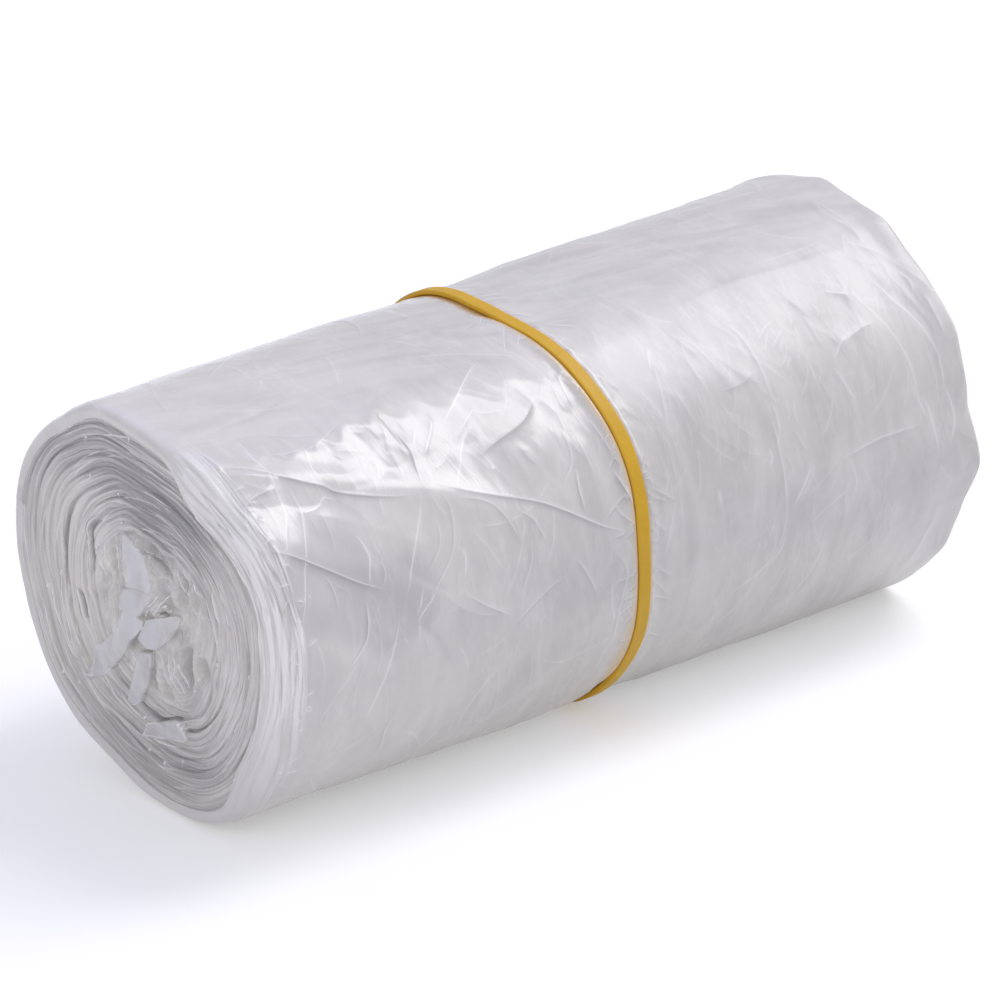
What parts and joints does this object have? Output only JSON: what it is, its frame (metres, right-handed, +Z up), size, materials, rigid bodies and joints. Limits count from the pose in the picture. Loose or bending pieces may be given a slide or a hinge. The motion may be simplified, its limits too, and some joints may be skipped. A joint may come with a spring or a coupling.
{
  "type": "bin bag roll",
  "caption": "Coreless roll of thin translucent film bin bags, wound from a folded web and held shut by a rubber band.",
  "frame": {"origin": "on the table, under the middle of the roll's bounding box", "axes": "+X along the roll, the end that shows its turns best at -X; +Z up"},
  "size_m": [0.15, 0.0744, 0.0707],
  "materials": {
    "film": "thin whitish translucent polyethylene film, wrinkled, with a soft gloss",
    "band": "golden yellow natural rubber, satin"
  },
  "bodies": {
    "root": {"bag_roll": "film", "rubber_band": "band"}
  },
  "joints": []
}
